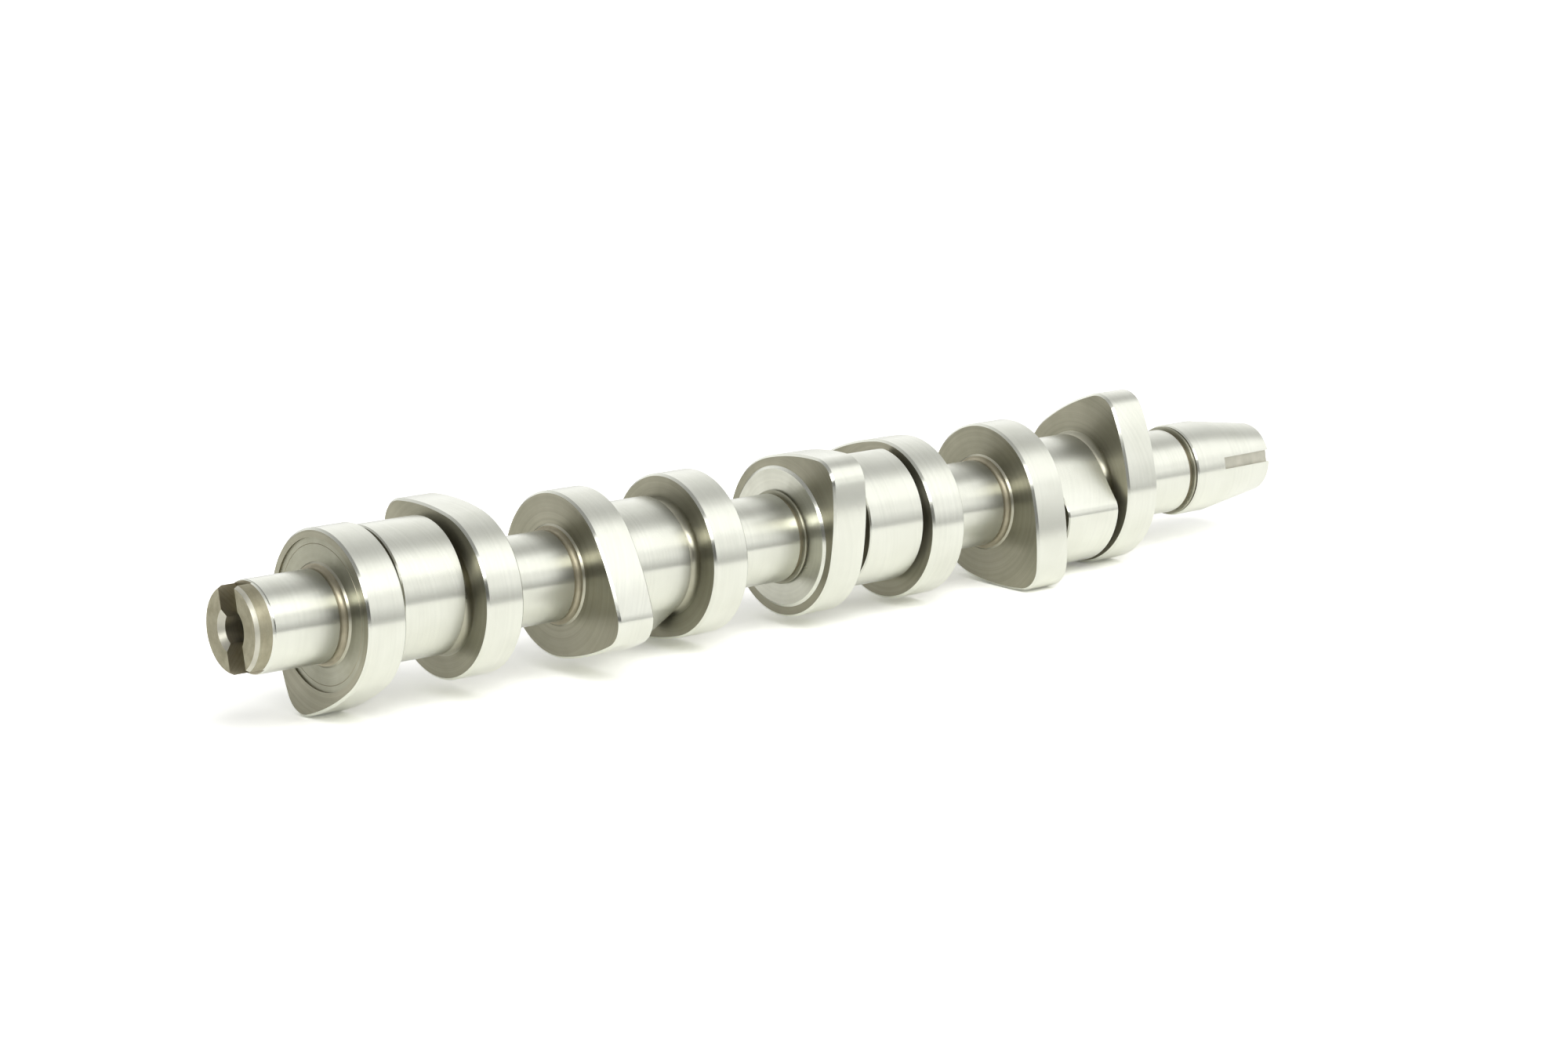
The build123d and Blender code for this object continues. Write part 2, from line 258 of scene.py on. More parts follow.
def addRing(station, radius, finish, kind=roundRing, turn=0.0, inset=0.0, thread=0.0):
    # the finish is that of the band from this ring to the next one
    rings.append({
        "station": station * mm, "radius": radius * mm, "finish": finish, "kind": kind,
        "turn": radians(turn), "inset": inset * mm, "thread": thread * mm})


def addRound(centerX, centerR, size, first, last, finish, steps, height=None):
    # rings along an arc of the section, from one angle to the other, or along an oval of this height
    for step in range(steps + 1):
        angle = radians(first + (last - first) * step / steps)
        addRing(centerX + size * cos(angle), centerR + (height or size) * sin(angle), finish)


def addLobe(start, width, chamfer, kind, turn, sideFinish):
    # the tree works out a lobe's radii, so its rings only hold the turn of its peak and the inset
    end = start + width
    addRing(start, 0, ground, kind, turn, inset=chamfer)
    addRing(start + chamfer, 0, ground, kind, turn)
    addRing(end - chamfer, 0, ground, kind, turn)
    addRing(end, 0, sideFinish, kind, turn, inset=chamfer)


def addShoulder(start, face):
    # from the undercut beside a journal, up a round, and over a rim that stands proud of the face
    side = 1 if face > start else -1
    size = shaft["shoulderRadius"]
    low = undercutRadius + size
    rim = face - side * shaft["shoulderHeight"]
    steps = shaft["roundSteps"]
    if side > 0:
        addRing(start, undercutRadius, boreStainAndShade)
        addRound(rim - size, low, size, 270, 360, boreStainAndShade, steps)
        rings[-1]["finish"] = shoulder
        addRing(face, low + shaft["shoulderHeight"], facedShaded)
    else:
        addRing(face, low + shaft["shoulderHeight"], shoulder)
        addRound(rim + size, low, size, 180, 270, boreStainAndShade, steps)
        addRing(start, undercutRadius, turned)


def addNeck(start, end, coveFirst):
    # a small fillet at the injector lobe, and a wide cove, polished by the wheel, at the valve lobe
    low, size, steps = shaft["neckRadius"], shaft["neckFillet"], shaft["filletSteps"]
    width, height, coveSteps = shaft["coveWidth"], shaft["coveHeight"], shaft["coveSteps"]
    if coveFirst:
        addRound(start + width, low + height, width, 180, 270, shoulder, coveSteps, height)
        addRound(end - size, low + size, size, 270, 360, boreStainAndShade, steps)
    else:
        addRound(start + size, low + size, size, 180, 270, boreStainAndShade, steps)
        addRound(end - width, low + height, width, 270, 360, shoulder, coveSteps, height)
    rings[-1]["finish"] = facedShaded


def addJournal(start, end):
    chamfer = shaft["journalChamfer"]
    low = shaft["journalRadius"] - chamfer
    addRing(start, low, ground)
    addRing(start + chamfer, low + chamfer, ground)
    addRing(end - chamfer, low + chamfer, ground)
    addRing(end, low, boreStainAndShade)


def addCollar(face):
    # a narrow rounded bead and the groove behind it, before a face
    top = shaft["collarRadius"]
    end = face - shaft["grooveWidth"]
    start = end - shaft["collarLength"]
    half = shaft["collarLength"] / 2
    addRing(start, shaft["journalRadius"] - shaft["undercutDepth"], turned)
    addRing(start, top - half, turned)
    addRound(start + half, top - half, half, 180, 0, turned, shaft["beadSteps"])
    addRing(end, top - shaft["grooveDepth"] - half, boreStainAndShade)
    addRing(face, top - shaft["grooveDepth"] - half, thrust)


undercutRadius = shaft["journalRadius"] - shaft["undercutDepth"]
outer, inner = shaft["outerOffset"], shaft["innerOffset"]
offset = {4: -outer, 3: -inner, 2: inner, 1: outer}
halfBank = (valveLobe["spacing"] + valveLobe["width"]) / 2
bankStart = {number: shaft["middle"] + shift - halfBank for number, shift in offset.items()}
bankEnd = {number: shaft["middle"] + shift + halfBank for number, shift in offset.items()}
pointSlope = 1 / tan(radians(shaft["drillPoint"] / 2))

# drive end, from the pilot's drill point outwards
addRing(shaft["pilotDepth"] + shaft["pilotRadius"] * pointSlope, 0, boreStainAndShade)
addRing(shaft["pilotDepth"], shaft["pilotRadius"], boreStainAndShade)
stepLength = (shaft["boreRadius"] - shaft["pilotRadius"]) * pointSlope
addRing(shaft["boreDepth"] + stepLength, shaft["pilotRadius"], boreStainAndShade)
addRing(shaft["boreDepth"], shaft["boreRadius"], boreStainAndShade)
addRing(shaft["boreMouthDepth"], shaft["boreRadius"], milled)
addRing(0, shaft["boreMouthRadius"], rough)
addRing(0, shaft["driveRadius"] - shaft["driveChamferHeight"], milled)
addRing(shaft["driveChamferLength"], shaft["driveRadius"], rough)
addRing(shaft["driveLength"], shaft["driveRadius"], ground)

journalStart = shaft["driveLength"] + shaft["firstJournalLead"]
collarSpan = shaft["collarGap"] + shaft["collarLength"] + shaft["grooveWidth"]
for number in (4, 3, 2, 1):
    start, end = bankStart[number], bankEnd[number]
    cycle = shaft["firingStep"] * shaft["firingOrder"].index(number)
    exhaustTurn = valveLobe["exhaustAngle"] + cycle
    intakeTurn = valveLobe["intakeAngle"] + cycle
    firstTurn, secondTurn = (exhaustTurn, intakeTurn) if offset[number] < 0 else (intakeTurn, exhaustTurn)
    faceKind = shaft["bankFace"][number]
    front = start
    if faceKind == "boss":
        front = start - shaft["bossHeight"]
        addJournal(journalStart, front - collarSpan)
        addRing(front - collarSpan, undercutRadius, boreStainAndShade)
        addCollar(front)
        addRing(front, shaft["bossRadius"], ground)
        addRing(start, shaft["bossRadius"] + shaft["bossBevel"], facedShaded)
    else:
        if faceKind == "recess":
            front = start + shaft["recessDepth"]
        addJournal(journalStart, front - shaft["journalGap"])
        addShoulder(front - shaft["journalGap"], front)
    if faceKind == "recess":
        rings[-1]["finish"] = turned
        width = shaft["scribeWidth"]
        addRing(front, shaft["scribeRadius"] - width, boreStainAndShade)
        addRing(front + width, shaft["scribeRadius"], boreStainAndShade)
        addRing(front, shaft["scribeRadius"] + width, turned)
        addRing(front, shaft["recessRadius"], boreStainAndShade)
        addRing(start, shaft["recessRadius"], facedShaded)
    addLobe(start, valveLobe["width"], valveLobe["chamfer"], valveRing, firstTurn, facedShaded)
    injectorStart = shaft["middle"] + offset[number] + injectorLobe["shift"] - injectorLobe["width"] / 2
    injectorEnd = injectorStart + injectorLobe["width"]
    addNeck(start + valveLobe["width"], injectorStart, True)
    addLobe(injectorStart, injectorLobe["width"], injectorLobe["chamfer"], injectorRing,
            injectorLobe["angle"] + cycle, facedShaded)
    addNeck(injectorEnd, end - valveLobe["width"], False)
    addLobe(end - valveLobe["width"], valveLobe["width"], valveLobe["chamfer"], valveRing, secondTurn, facedShaded)
    journalStart = end + shaft["journalGap"]
    addShoulder(journalStart, end)

# pulley end, to the bolt hole's drill point
journalEnd = journalStart + shaft["endJournalLength"]
sealStart = journalEnd + collarSpan
taperStart = sealStart + shaft["sealLength"]
shaftEnd = taperStart + shaft["taperLength"]
taperSlope = (shaft["sealRadius"] - shaft["taperEndRadius"]) / shaft["taperLength"]
endChamfer = shaft["taperEndChamfer"]
addJournal(journalStart, journalEnd)
addRing(journalEnd, undercutRadius, boreStainAndShade)
addCollar(sealStart)
addRing(sealStart, shaft["sealRadius"] - shaft["sealChamfer"], ground)
addRing(sealStart + shaft["sealChamfer"], shaft["sealRadius"], ground)
addRing(taperStart, shaft["sealRadius"], ground)
addRing(shaftEnd - endChamfer, shaft["taperEndRadius"] + taperSlope * endChamfer, ground)
addRing(shaftEnd, shaft["taperEndRadius"] - endChamfer, turned)
addRing(shaftEnd, shaft["boltRadius"] + shaft["boltChamfer"], milled)
mouth = shaftEnd - shaft["boltChamfer"]
ringStep = shaft["threadPitch"] / shaft["threadRings"]
threadCount = int(shaft["boltThreadLength"] / ringStep)
for index in range(threadCount + 1):
    depth = shaft["threadDepth"] if 0 < index < threadCount else 0
    addRing(mouth - index * ringStep, shaft["boltRadius"], boreStainAndShade, thread=depth)
addRing(shaftEnd - shaft["boltDepth"], shaft["boltRadius"], boreStainAndShade)
addRing(shaftEnd - shaft["boltDepth"] - shaft["boltRadius"] * pointSlope, 0, boreStainAndShade)
print("rings", len(rings))

sectionMesh = bpy.data.meshes.new("shaftSection")
sectionMesh.from_pydata([(ring["station"], ring["radius"], 0) for ring in rings], [], [])
for name in ("inset", "turn", "thread"):
    layer = sectionMesh.attributes.new(name, "FLOAT", "POINT")
    layer.data.foreach_set("value", [ring[name] for ring in rings])
for name in ("kind", "finish"):
    layer = sectionMesh.attributes.new(name, "INT", "POINT")
    layer.data.foreach_set("value", [ring[name] for ring in rings])
camshaft = bpy.data.objects.new("groundCamshaft", sectionMesh)
bpy.context.collection.objects.link(camshaft)


# each rule gives the radii and centres of a lobe's arcs, and the angles at which one arc hands over
# to the next, as the inputs of the node tree
def valveRule():
    noseDistance = valveLobe["base"] + valveLobe["lift"] - valveLobe["nose"]
    toBase = valveLobe["flank"] - valveLobe["base"]
    toNose = valveLobe["flank"] - valveLobe["nose"]
    baseTurn = acos((toNose**2 - toBase**2 - noseDistance**2) / (2 * noseDistance * toBase))
    noseTurn = atan2(toBase * sin(baseTurn), noseDistance + toBase * cos(baseTurn))
    noseEdge = atan2(valveLobe["nose"] * sin(noseTurn), noseDistance + valveLobe["nose"] * cos(noseTurn))
    return {"Valve Base Radius": valveLobe["base"] * mm, "Valve Nose Radius": valveLobe["nose"] * mm,
            "Valve Nose Distance": noseDistance * mm, "Valve Flank Radius": valveLobe["flank"] * mm,
            "Valve Flank Distance": toBase * mm, "Valve Base Angle": baseTurn, "Valve Nose Angle": noseEdge}


def injectorRule():
    shift = injectorLobe["lift"] / 2
    base, nose = injectorLobe["base"], injectorLobe["nose"]
    flankTurn = radians(injectorLobe["flankTurn"])
    normal = Vector((cos(flankTurn), -sin(flankTurn)))
    along = Vector((sin(flankTurn), cos(flankTurn)))
    start = (base - nose) * normal
    reach = shift * along.x
    gap = (start - Vector((shift, 0))).length
    slide = reach + sqrt(reach**2 + (base + shift - nose)**2 - gap**2)
    noseCenter = start + slide * along
    closingWay = (noseCenter - Vector((shift, 0))).normalized()
    closingEdge = noseCenter + nose * closingWay
    flankEdge = noseCenter + nose * normal
    return {"Injector Base Radius": base * mm, "Injector Nose Radius": nose * mm,
            "Injector Nose Distance": noseCenter.length * mm,
            "Injector Nose Angle": atan2(noseCenter.y, noseCenter.x),
            "Injector Closing Radius": (base + shift) * mm, "Injector Closing Shift": shift * mm,
            "Injector Closing Angle": atan2(closingEdge.y, closingEdge.x),
            "Injector Flank Angle": atan2(flankEdge.y, flankEdge.x), "Injector Flank Turn": -flankTurn}


# the slot's middle is off the axis by its shift, and its block reaches past the rim
slot = {"width": 8.8, "depth": 6.2, "shift": 0.8, "angle": 77.6, "reach": 40.0}
slotAngle = radians(slot["angle"])
slotRule = {
    "Slot Size": (2 * slot["depth"] * mm, slot["reach"] * mm, slot["width"] * mm),
    "Slot Place": (0, -slot["shift"] * sin(slotAngle) * mm, slot["shift"] * cos(slotAngle) * mm),
    "Slot Turn": (slotAngle, 0, 0),
}
# the keyway follows the taper's slope; its block rises over the surface and runs out past the end
keyway = {"width": 4.0, "depth": 1.6, "length": 24.9, "angle": 168.8, "rise": 6.0, "overrun": 8.0}
keywayWay = radians(keyway["angle"])
outward = Vector((0, cos(keywayWay), sin(keywayWay)))
alongWay = (Vector((1, 0, 0)) - taperSlope * outward).normalized()
upright = (taperSlope * Vector((1, 0, 0)) + outward).normalized()
keywayTurn = Matrix((alongWay, upright.cross(alongWay), upright)).transposed()
keywayStart = Vector((shaftEnd - keyway["length"], 0, 0))
keywayStart += outward * (shaft["taperEndRadius"] + taperSlope * keyway["length"])
keywayRun = keyway["length"] + keyway["overrun"]
keywayTall = keyway["depth"] + keyway["rise"]
keywayMiddle = keywayStart + alongWay * keywayRun / 2 + upright * (keywayTall / 2 - keyway["depth"])
keywayRule = {
    "Keyway Size": (keywayRun * mm, keyway["width"] * mm, keywayTall * mm),
    "Keyway Place": tuple(keywayMiddle * mm),
    "Keyway Turn": tuple(keywayTurn.to_euler()),
}


def buildShaftTree(values):
    # turns the section's rings into a closed surface: a grid with a row for each ring
    tree = bpy.data.node_groups.new("turnedShaft", "GeometryNodeTree")
    tree.interface.new_socket("Geometry", in_out="INPUT", socket_type="NodeSocketGeometry")
    for name, value in values.items():
        if name == "Segments":
            socketType = "NodeSocketInt"
        elif isinstance(value, tuple):
            socketType = "NodeSocketVector"
        else:
            socketType = "NodeSocketFloat"
        tree.interface.new_socket(name, in_out="INPUT", socket_type=socketType)
    tree.interface.new_socket("Geometry", in_out="OUTPUT", socket_type="NodeSocketGeometry")
    given = tree.nodes.new("NodeGroupInput").outputs

    index = addNode(tree, "GeometryNodeInputIndex")
    ringCount = addNode(tree, "GeometryNodeAttributeDomainSize", None, [given["Geometry"]])
    # one column more than segments, because the last lies on the first and merges with it
    columns = addNode(tree, mathNode, plus, [given["Segments"], 1.0])
    grid = addNode(tree, "GeometryNodeMeshGrid", None, {
        "Vertices X": ringCount.outputs["Point Count"], "Vertices Y": columns})
    ringShare = addNode(tree, mathNode, over, [index, columns])
    ringIndex = addNode(tree, mathNode, wholePart, [ringShare])
    column = addNode(tree, mathNode, remainder, [index, columns])
    turnShare = addNode(tree, mathNode, over, [column, given["Segments"]])
    angle = addNode(tree, mathNode, times, [turnShare, 2 * pi])
    angleCosine = addNode(tree, mathNode, cosine, [angle])
    angleSine = addNode(tree, mathNode, sine, [angle])

    def ringValue(name, dataType, spot=ringIndex):
        # a value that the section holds for a ring
        held = addNode(tree, "GeometryNodeInputNamedAttribute", {"data_type": dataType}, {"Name": name})
        return addNode(tree, "GeometryNodeSampleIndex", {"data_type": dataType}, {
            "Geometry": given["Geometry"], "Value": held.outputs["Attribute"], "Index": spot})

    place = ringValue("position", "FLOAT_VECTOR")
    placeParts = addNode(tree, "ShaderNodeSeparateXYZ", None, [place]).outputs
    stationX, roundRadius = placeParts["X"], placeParts["Y"]
    inset, kind, thread = ringValue("inset", "FLOAT"), ringValue("kind", "INT"), ringValue("thread", "FLOAT")
    # angle from the lobe's peak, wrapped to half a turn each way
    fromPeak = addNode(tree, mathNode, minus, [angle, ringValue("turn", "FLOAT")])
    away = addNode(tree, mathNode, wrap, [fromPeak, pi, -pi])
    awaySize = addNode(tree, mathNode, positive, [away])

    def circleReach(distance, radius, turn):
        # how far out a ray at this turn meets a circle whose centre is at this distance
        turnSine = addNode(tree, mathNode, sine, [turn])
        turnCosine = addNode(tree, mathNode, cosine, [turn])
        side = addNode(tree, mathNode, times, [distance, turnSine])
        sideSquare = addNode(tree, mathNode, times, [side, side])
        radiusSquare = addNode(tree, mathNode, times, [radius, radius])
        left = addNode(tree, mathNode, minus, [radiusSquare, sideSquare])
        ahead = addNode(tree, mathNode, times, [distance, turnCosine])
        return addNode(tree, mathNode, plus, [ahead, addNode(tree, mathNode, root, [left])])

    def chooseRadius(start, steps):
        # each step takes over where its value is under its limit, and the last such step counts
        chosen = start
        for value, limit, radius in steps:
            test = addNode(tree, "FunctionNodeCompare", {"data_type": "FLOAT", "operation": "LESS_THAN"}, [
                value, limit])
            chosen = addNode(tree, "GeometryNodeSwitch", {"input_type": "FLOAT"}, {
                "Switch": test, "False": chosen, "True": radius})
        return chosen

    # a side chamfer is the same outline with its radii smaller by the inset
    arcs = ("Valve Base", "Valve Nose", "Valve Flank", "Injector Base", "Injector Nose", "Injector Closing")
    insetRadius = {name: addNode(tree, mathNode, minus, [given[name + " Radius"], inset]) for name in arcs}
    flankSide = addNode(tree, mathNode, times, [given["Valve Flank Distance"], -1.0])
    flankTurn = addNode(tree, mathNode, minus, [awaySize, given["Valve Base Angle"]])
    valveRadius = chooseRadius(insetRadius["Valve Base"], [
        (awaySize, given["Valve Base Angle"], circleReach(flankSide, insetRadius["Valve Flank"], flankTurn)),
        (awaySize, given["Valve Nose Angle"], circleReach(
            given["Valve Nose Distance"], insetRadius["Valve Nose"], awaySize)),
    ])

    noseTurn = addNode(tree, mathNode, minus, [away, given["Injector Nose Angle"]])
    straightTurn = addNode(tree, mathNode, minus, [away, given["Injector Flank Turn"]])
    straightCosine = addNode(tree, mathNode, cosine, [straightTurn])
    injectorRadius = chooseRadius(
        circleReach(given["Injector Closing Shift"], insetRadius["Injector Closing"], away), [
            (away, given["Injector Closing Angle"], circleReach(
                given["Injector Nose Distance"], insetRadius["Injector Nose"], noseTurn)),
            (away, given["Injector Flank Angle"], addNode(
                tree, mathNode, over, [insetRadius["Injector Base"], straightCosine])),
            (away, given["Injector Flank Turn"], insetRadius["Injector Base"]),
        ])

    # a screw thread: its depth follows a saw edge that advances one pitch for each turn
    pitches = addNode(tree, mathNode, over, [stationX, given["Thread Pitch"]])
    turns = addNode(tree, mathNode, over, [angle, 2 * pi])
    phase = addNode(tree, mathNode, plus, [pitches, turns])
    saw = addNode(tree, mathNode, {"operation": "PINGPONG"}, [phase, 0.5])
    sawDepth = addNode(tree, mathNode, times, [thread, addNode(tree, mathNode, times, [saw, 2.0])])
    threaded = addNode(tree, mathNode, plus, [roundRadius, sawDepth])
    # kinds are whole numbers, so the limits lie half way between them
    radius = chooseRadius(injectorRadius, [
        (kind, injectorRing - 0.5, valveRadius), (kind, valveRing - 0.5, threaded)])
    shaped = addNode(tree, "ShaderNodeCombineXYZ", None, {
        "X": stationX, "Y": addNode(tree, mathNode, times, [radius, angleCosine]),
        "Z": addNode(tree, mathNode, times, [radius, angleSine])})
    placed = addNode(tree, "GeometryNodeSetPosition", None, {"Geometry": grid, "Position": shaped})

    # each band of faces has the finish of the ring that it starts at
    bandShare = addNode(tree, mathNode, over, [index, given["Segments"]])
    bandIndex = addNode(tree, mathNode, wholePart, [bandShare])
    onFaces = {"data_type": "INT", "domain": "FACE"}
    marked = addNode(tree, "GeometryNodeStoreNamedAttribute", onFaces, {
        "Geometry": placed, "Name": "finish", "Value": ringValue("finish", "INT", bandIndex)})
    closed = addNode(tree, "GeometryNodeMergeByDistance", None, {
        "Geometry": marked, "Distance": given["Merge Distance"]})

    # slot and keyway are milled out last
    tools = addNode(tree, "GeometryNodeJoinGeometry")
    for name, finish in (("Slot", boreStainAndShade), ("Keyway", milled)):
        block = addNode(tree, "GeometryNodeMeshCube", None, {"Size": given[name + " Size"]})
        moved = addNode(tree, "GeometryNodeTransform", None, {
            "Geometry": block, "Translation": given[name + " Place"], "Rotation": given[name + " Turn"]})
        cutter = addNode(tree, "GeometryNodeStoreNamedAttribute", onFaces, {
            "Geometry": moved, "Name": "finish", "Value": finish})
        tree.links.new(cutter.outputs[0], tools.inputs[0])
    cut = addNode(tree, "GeometryNodeMeshBoolean", {"operation": "DIFFERENCE", "solver": "EXACT"}, {
        "Mesh 1": closed, "Mesh 2": tools})
    edgeAngle = addNode(tree, "GeometryNodeInputMeshEdgeAngle").outputs["Unsigned Angle"]
    gentle = addNode(tree, "FunctionNodeCompare", {"data_type": "FLOAT", "operation": "LESS_THAN"}, [
        edgeAngle, given["Sharp Angle"]])
    smoothFaces = addNode(tree, "GeometryNodeSetShadeSmooth", {"domain": "FACE"}, {
        "Geometry": cut, "Shade Smooth": True})
    smoothEdges = addNode(tree, "GeometryNodeSetShadeSmooth", {"domain": "EDGE"}, {
        "Geometry": smoothFaces, "Shade Smooth": gentle})
    done = addNode(tree, "GeometryNodeRealizeInstances", None, {"Geometry": smoothEdges})
    faceFinish = addNode(tree, "GeometryNodeInputNamedAttribute", {"data_type": "INT"}, {"Name": "finish"})
    for number, material in enumerate(finishes):
        chosen = addNode(tree, "FunctionNodeCompare", {"data_type": "INT", "operation": "EQUAL"}, {
            2: faceFinish.outputs["Attribute"], 3: number})
        done = addNode(tree, "GeometryNodeSetMaterial", None, {
            "Geometry": done, "Selection": chosen, "Material": material})
    addNode(tree, "NodeGroupOutput", None, {"Geometry": done})
    return tree


print("shaft tree")
treeValues = {
    "Segments": shaft["segments"], "Merge Distance": shaft["mergeDistance"] * mm,
    "Sharp Angle": radians(shaft["sharpAngle"]), "Thread Pitch": shaft["threadPitch"] * mm,
    **valveRule(), **injectorRule(), **slotRule, **keywayRule,
}
shaftTree = buildShaftTree(treeValues)
shaftModifier = camshaft.modifiers.new("turnedShaft", "NODES")
shaftModifier.node_group = shaftTree
for item in shaftTree.interface.items_tree:
    if item.in_out == "INPUT" and item.name in treeValues:
        shaftModifier[item.identifier] = treeValues[item.name]
dependencies = bpy.context.evaluated_depsgraph_get()
finished = bpy.data.meshes.new_from_object(camshaft.evaluated_get(dependencies))
camshaft.modifiers.remove(shaftModifier)
finished.name = "groundCamshaft"
camshaft.data = finished
print("faces", len(finished.polygons), "materials", [m.name if m else None for m in finished.materials])

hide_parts("camshaft")
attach(camshaft, "root")

print("studio")


def stageMesh(name, points, faces, material):
    mesh = bpy.data.meshes.new(name)
    mesh.from_pydata(points, [], faces)
    mesh.materials.append(material)
    thing = bpy.data.objects.new(name, mesh)
    bpy.context.collection.objects.link(thing)
    return thing


# the floor touches the lobes that carry the shaft: its height in mm under the shaft's middle, and its
# slope in degrees, because those lobes reach out unequally
paperFloor = {
    "low": -29.36, "tilt": 1.274, "front": 520.0, "back": 2500.0, "side": 2500.0,
    "colour": "#f2f2f0", "seenGain": 1.6, "seenGlow": 0.05,
}


def floorMaterial():
    # white paper that lights the object as plain paper does, but that the camera, metal and glass see
    # brighter, so that it is white but for the shadow under the shaft
    material, tree = emptyMaterial("whitePaper")
    rays = addNode(tree, "ShaderNodeLightPath").outputs
    cameraOrGlossy = addNode(tree, mathNode, highest, [rays["Is Camera Ray"], rays["Is Glossy Ray"]])
    seen = addNode(tree, mathNode, highest, [cameraOrGlossy, rays["Is Transmission Ray"]])
    gain = addNode(tree, "ShaderNodeMapRange", None, {
        "Value": seen, "To Min": 1.0, "To Max": paperFloor["seenGain"]})
    colour = addNode(tree, vectorNode, {"operation": "SCALE"}, {
        0: toLinear(paperFloor["colour"])[:3], "Scale": gain})
    paper = addNode(tree, "ShaderNodeBsdfDiffuse", None, {"Color": colour})
    strength = addNode(tree, mathNode, times, [seen, paperFloor["seenGlow"]])
    glow = addNode(tree, "ShaderNodeEmission", None, {"Strength": strength})
    both = addNode(tree, "ShaderNodeAddShader", None, [paper, glow])
    addNode(tree, "ShaderNodeOutputMaterial", None, {"Surface": both})
    return material


slope = tan(radians(paperFloor["tilt"]))
middleX = (cadBox[0].x + cadBox[1].x) / 2 / mm


def floorPoint(x, y):
    return (x * mm, y * mm, (paperFloor["low"] + slope * (x - middleX)) * mm)


floorLeft, floorRight = middleX - paperFloor["side"], middleX + paperFloor["side"]
stageMesh("floorSheet", [
    floorPoint(floorLeft, -paperFloor["front"]), floorPoint(floorRight, -paperFloor["front"]),
    floorPoint(floorRight, paperFloor["back"]), floorPoint(floorLeft, paperFloor["back"]),
], [(0, 1, 2, 3)], floorMaterial())

# The tent is only there for the metal to reflect: pale and dark bands that run along the shaft.
# sideStart and sideEnd are where its look changes to that beyond the drive end. At this level the
# bright bands are over 1, so the metal shows brighter in them than its colours are written.
lightTent = {
    "radius": 600.0, "start": -1500.0, "end": 2200.0, "steps": 96, "sideStart": 250.0,
    "sideEnd": -350.0, "level": 1.33, "jumpGap": 0.05,
}
# each stop is an angle in degrees, measured from the front up and over to the back, and a brightness
tentBands = [
    (-12, 0.62), (-5, 0.6), (5, 0.85), (15, 1.08), (26, 1.1), (36, 1.26), (66, 1.28), (76, 0.88),
    (86, 0.64), (98, 0.62), (112, 0.78), (135, 1.0), (155, 1.15), (168, 1.05), (177, 0.45), (192, 0.4),
]
# beyond the drive end the tent is dark but for one long strip of light, over the same angles
sideBands = [
    (-12, 0.1), (20, 0.1), (28, 0.4), (35, 5.0), (52, 5.0), (61, 0.4), (80, 0.28), (105, 0.3),
    (125, 0.4), (150, 0.5), (165, 0.54), (192, 0.6),
]


tentLow, tentHigh = tentBands[0][0], tentBands[-1][0]


def tentMaterial():
    material, tree = emptyMaterial("lightTent")
    place = addNode(tree, "ShaderNodeTexCoord").outputs["Object"]
    split = addNode(tree, "ShaderNodeSeparateXYZ", None, [place]).outputs
    front = addNode(tree, mathNode, times, [split["Y"], -1.0])
    rise = addNode(tree, mathNode, {"operation": "ARCTAN2"}, [split["Z"], front])
    low, high = radians(tentLow), radians(tentHigh)
    # the angle has its jump in the gap under the tent, this many radians below its front edge
    jump = low - lightTent["jumpGap"]
    wrapped = addNode(tree, mathNode, wrap, [rise, jump + 2 * pi, jump])
    share = addNode(tree, "ShaderNodeMapRange", None, {
        "Value": wrapped, "From Min": low, "From Max": high})
    ramps = []
    for bands in (tentBands, sideBands):
        ramp = addNode(tree, "ShaderNodeValToRGB", None, {"Fac": share})
        stops = ramp.color_ramp.elements
        while len(stops) < len(bands):
            stops.new(0.5)
        for stop, (angle, level) in zip(stops, bands):
            stop.position = (angle - tentLow) / (tentHigh - tentLow)
        for stop, (angle, level) in zip(stops, bands):
            stop.color = (level, level, level, 1)
        ramps.append(ramp)
    beyond = addNode(tree, "ShaderNodeMapRange", {"interpolation_type": "SMOOTHSTEP"}, {
        "Value": split["X"], "From Min": lightTent["sideStart"] * mm, "From Max": lightTent["sideEnd"] * mm})
    level = addNode(tree, "ShaderNodeMix", {"data_type": "RGBA"}, {0: beyond, 6: ramps[0], 7: ramps[1]})
    glow = addNode(tree, "ShaderNodeEmission", None, {
        "Color": level.outputs[2], "Strength": lightTent["level"]})
    addNode(tree, "ShaderNodeOutputMaterial", None, {"Surface": glow})
    return material


tentPoints = []
tentSize = lightTent["radius"] * mm
tentStep = (tentHigh - tentLow) / lightTent["steps"]
for step in range(lightTent["steps"] + 1):
    angle = radians(tentLow + tentStep * step)
    for x in (lightTent["start"], lightTent["end"]):
        tentPoints.append((x * mm, -tentSize * cos(angle), tentSize * sin(angle)))
tentFaces = [(2 * i, 2 * i + 1, 2 * i + 3, 2 * i + 2) for i in range(lightTent["steps"])]
tent = stageMesh("lightTent", tentPoints, tentFaces, tentMaterial())


def plainGlow(name, level):
    material, tree = emptyMaterial(name)
    glow = addNode(tree, "ShaderNodeEmission", None, {"Color": (level, level, level, 1), "Strength": 1.0})
    addNode(tree, "ShaderNodeOutputMaterial", None, {"Surface": glow})
    return material


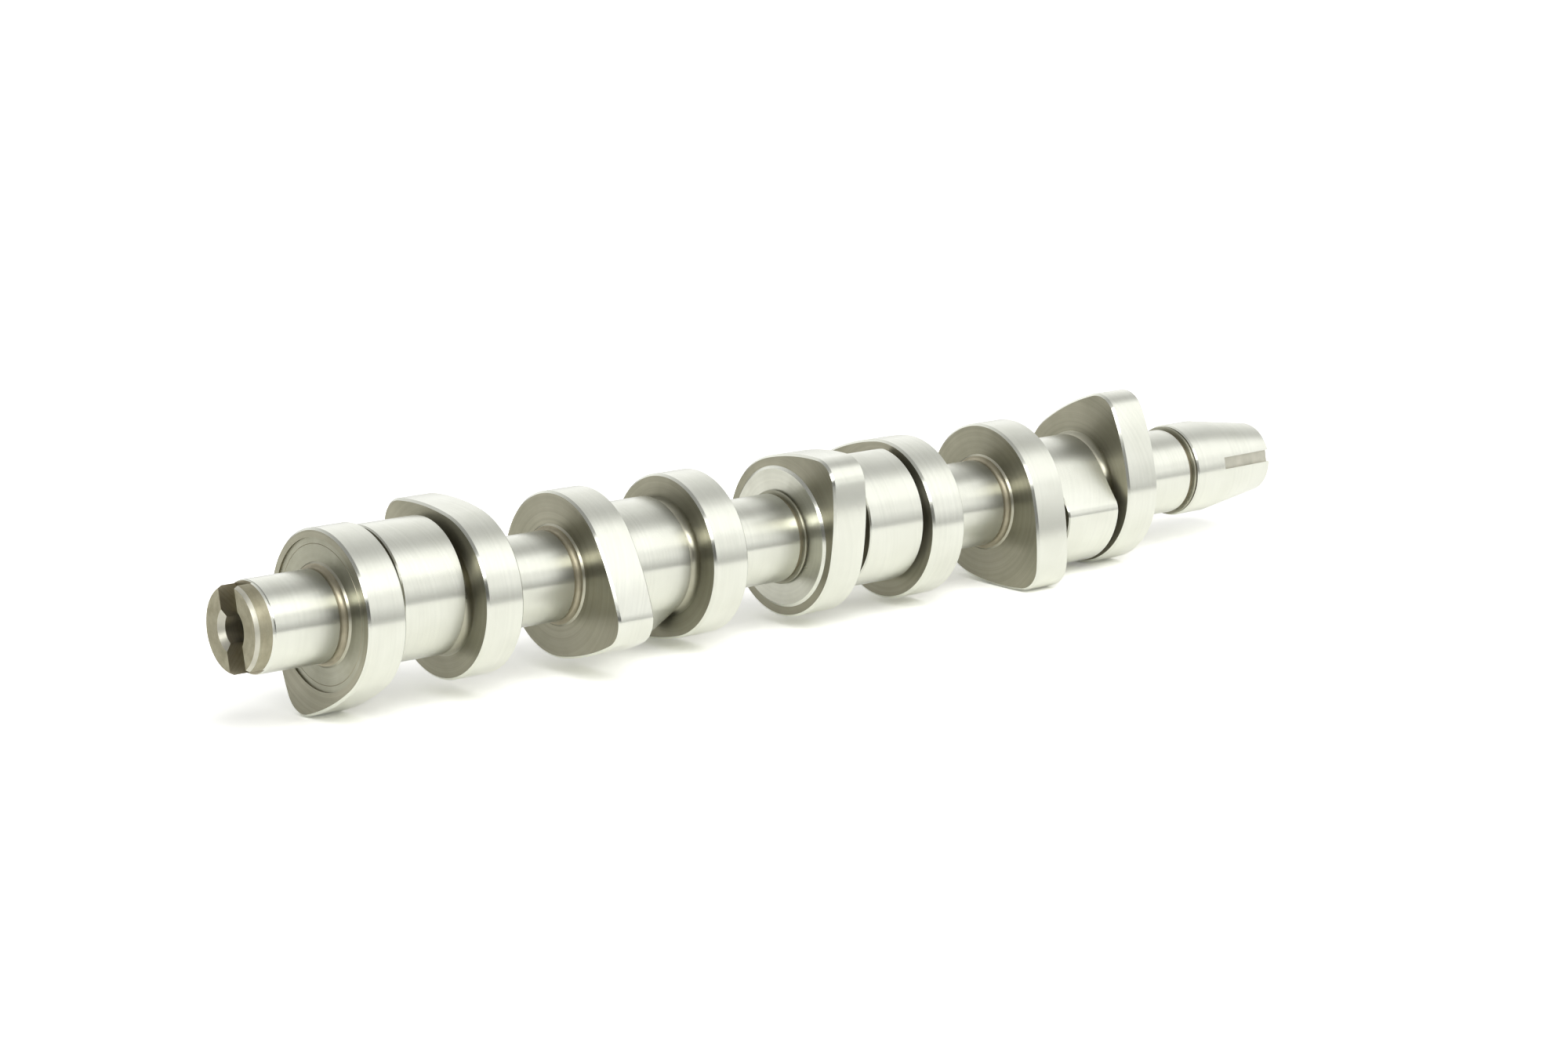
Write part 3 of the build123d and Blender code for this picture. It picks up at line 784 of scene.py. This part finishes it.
# the wall that closes the tent beyond the drive end, a little larger than the tent is
tentWall = {"side": 660.0, "low": -180.0, "high": 660.0, "level": 0.33}
wallSide, wallLow, wallHigh = (tentWall[name] * mm for name in ("side", "low", "high"))
endWall = stageMesh("tentEnd", [
    (lightTent["start"] * mm, y, z) for y, z in (
        (-wallSide, wallLow), (wallSide, wallLow), (wallSide, wallHigh), (-wallSide, wallHigh))
], [(0, 1, 2, 3)], plainGlow("tentEndCloth", tentWall["level"]))
# dim glowing sheets just over the floor, beside the drive end and in front, that only the metal sees:
# painted darker reflections of the floor there
cards = {
    "sideCard": {"corners": [(-235, -210), (-76, 60), (-1450, 350), (-1450, -210)], "level": 0.13},
    "frontCard": {"corners": [(-1450, -200), (1500, -200), (1500, -515), (-1450, -515)], "level": 0.78},
}
cardLift = 1.0
unseen = [tent, endWall]
for name, card in cards.items():
    points = [Vector(floorPoint(x, y)) + Vector((0, 0, cardLift * mm)) for x, y in card["corners"]]
    unseen.append(stageMesh(name, points, [(0, 1, 2, 3)], plainGlow(name + "Cloth", card["level"])))
for thing in unseen:
    thing.visible_camera = False
    thing.visible_diffuse = False
    thing.visible_shadow = False
    thing.visible_transmission = False

# the sky and the soft sun together light a level sheet at a level of about 1
plainLight = {
    "skyLevel": 0.6, "whiteLevel": 1.05, "sunLevel": 1.8, "sunFrom": (-0.1, -0.64, 0.77), "sunAngle": 50.0,
}
world = bpy.data.worlds.new("studioWorld")
bpy.context.scene.world = world
world.use_nodes = True
world.node_tree.nodes.clear()
# the backdrop is white, and the sky that falls on paper is dimmer, because the sun adds the rest
skyRays = addNode(world.node_tree, "ShaderNodeLightPath").outputs
skyStrength = addNode(world.node_tree, "ShaderNodeMapRange", None, {
    "Value": skyRays["Is Diffuse Ray"], "To Min": plainLight["whiteLevel"],
    "To Max": plainLight["skyLevel"]})
sky = addNode(world.node_tree, "ShaderNodeBackground", None, {"Color": (1, 1, 1, 1), "Strength": skyStrength})
addNode(world.node_tree, "ShaderNodeOutputWorld", None, {"Surface": sky})
sunData = bpy.data.lights.new("softSun", "SUN")
sunData.energy = plainLight["sunLevel"]
sunData.angle = radians(plainLight["sunAngle"])
sun = bpy.data.objects.new("softSun", sunData)
sun.rotation_euler = Vector(plainLight["sunFrom"]).to_track_quat("Z", "Y").to_euler()
sun.visible_glossy = False
bpy.context.collection.objects.link(sun)
bpy.context.scene.view_settings.view_transform = "Standard"
